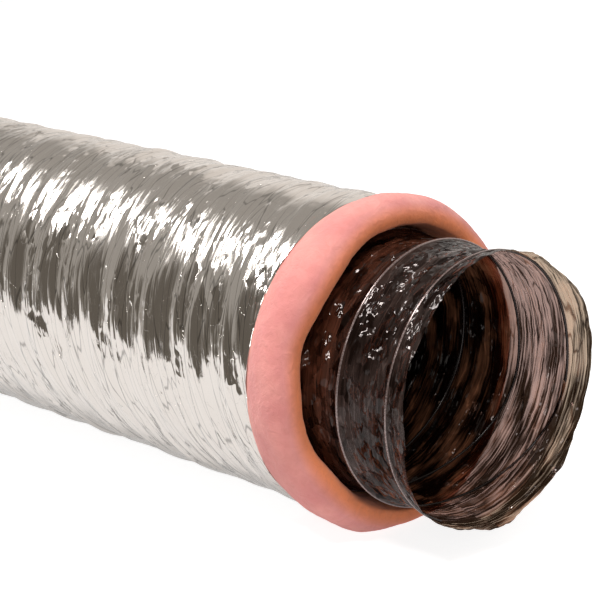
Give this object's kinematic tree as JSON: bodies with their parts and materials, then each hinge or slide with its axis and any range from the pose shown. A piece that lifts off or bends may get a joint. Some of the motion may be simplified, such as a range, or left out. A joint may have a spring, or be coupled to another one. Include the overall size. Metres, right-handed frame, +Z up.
{
  "type": "insulated flexible air duct",
  "caption": "Length of insulated flexible round air duct with a wire-helix film core, a fibreglass blanket and a metallised jacket.",
  "frame": {"origin": "on the floor, under the middle of the duct's length, at the centre of the bounding box's bottom", "axes": "+X along the duct towards the bared mouth, +Z up, +Y to the left when looking out of the mouth"},
  "size_m": [1.0958, 0.258, 0.2501],
  "materials": {
    "metallised_film": "bright crinkled metallised polyester film",
    "pink_fibreglass": "matt pink glass wool",
    "smoked_film": "glossy crinkled smoked translucent polyester film",
    "spring_steel": "drawn spring-steel wire"
  },
  "bodies": {
    "rear_length": {"jacket_rear": "metallised_film", "insulation_rear": "pink_fibreglass", "core_outer_ply_rear": "smoked_film", "core_inner_ply_rear": "smoked_film", "helix_wire_rear": "spring_steel", "jacket_side_bend": "metallised_film", "insulation_side_bend": "pink_fibreglass", "core_outer_ply_side_bend": "smoked_film", "core_inner_ply_side_bend": "smoked_film", "helix_wire_side_bend": "spring_steel"},
    "middle_length": {"jacket_middle": "metallised_film", "insulation_middle": "pink_fibreglass", "core_outer_ply_middle": "smoked_film", "core_inner_ply_middle": "smoked_film", "helix_wire_middle": "spring_steel", "jacket_upright_bend": "metallised_film", "insulation_upright_bend": "pink_fibreglass", "core_outer_ply_upright_bend": "smoked_film", "core_inner_ply_upright_bend": "smoked_film", "helix_wire_upright_bend": "spring_steel"},
    "front_sleeve": {"jacket_front": "metallised_film", "insulation_front": "pink_fibreglass", "core_outer_ply_slack": "smoked_film", "core_inner_ply_slack": "smoked_film", "helix_wire_slack": "spring_steel"},
    "front_core": {"core_outer_ply_front": "smoked_film", "core_inner_ply_front": "smoked_film", "helix_wire_front": "spring_steel", "core_outer_ply_pleat": "smoked_film", "core_inner_ply_pleat": "smoked_film", "helix_wire_pleat": "spring_steel"},
    "mouth": {"core_outer_ply_mouth": "smoked_film", "core_inner_ply_mouth": "smoked_film", "helix_wire_mouth": "spring_steel"}
  },
  "joints": [
    {"name": "side_bend", "type": "hinge", "parent": "rear_length", "child": "middle_length", "pos_m": [-0.19585, 0, 0.1211], "axis": [0, 0, 1], "range_deg": [-30, 30], "deforming": ["jacket_side_bend", "insulation_side_bend", "core_outer_ply_side_bend", "core_inner_ply_side_bend", "helix_wire_side_bend"]},
    {"name": "upright_bend", "type": "hinge", "parent": "middle_length", "child": "front_sleeve", "pos_m": [0.08415, 0, 0.1211], "axis": [0, -1, 0], "range_deg": [0, 30], "deforming": ["jacket_upright_bend", "insulation_upright_bend", "core_outer_ply_upright_bend", "core_inner_ply_upright_bend", "helix_wire_upright_bend"]},
    {"name": "core_slide", "type": "slide", "parent": "front_sleeve", "child": "front_core", "axis": [1, 0, 0], "range_m": [-0.08, 0.03], "deforming": ["core_outer_ply_slack", "core_inner_ply_slack", "helix_wire_slack"]},
    {"name": "mouth_press", "type": "slide", "parent": "front_core", "child": "mouth", "axis": [1, 0, 0], "range_m": [-0.022, 0.004], "deforming": ["core_outer_ply_pleat", "core_inner_ply_pleat", "helix_wire_pleat"]}
  ]
}
